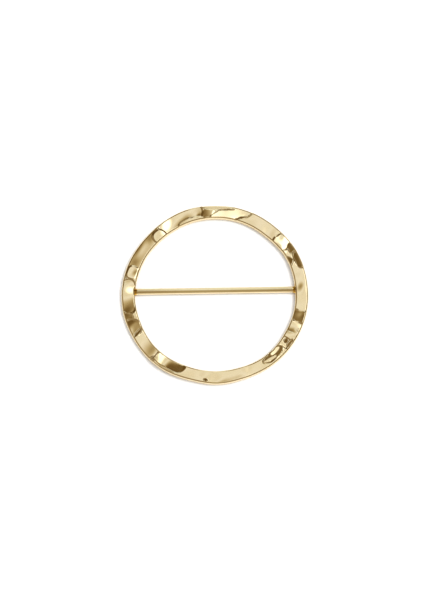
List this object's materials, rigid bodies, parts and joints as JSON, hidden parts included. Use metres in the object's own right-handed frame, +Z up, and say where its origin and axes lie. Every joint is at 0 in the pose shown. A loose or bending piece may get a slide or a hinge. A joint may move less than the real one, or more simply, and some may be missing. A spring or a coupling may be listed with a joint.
{
  "type": "scarf clip",
  "caption": "Flat hammered metal ring with one straight round bar across it, over which a scarf is threaded and held.",
  "frame": {"origin": "centre of the clip's box, on the surface that it lies on", "axes": "+X along the bar, +Y in the ring's plane across the bar, +Z up out of the hammered face"},
  "size_m": [0.0504, 0.0506, 0.0019],
  "materials": {
    "gold_plate": "polished gold plate, hammered"
  },
  "bodies": {
    "root": {"ring_with_bar": "gold_plate"}
  },
  "joints": []
}
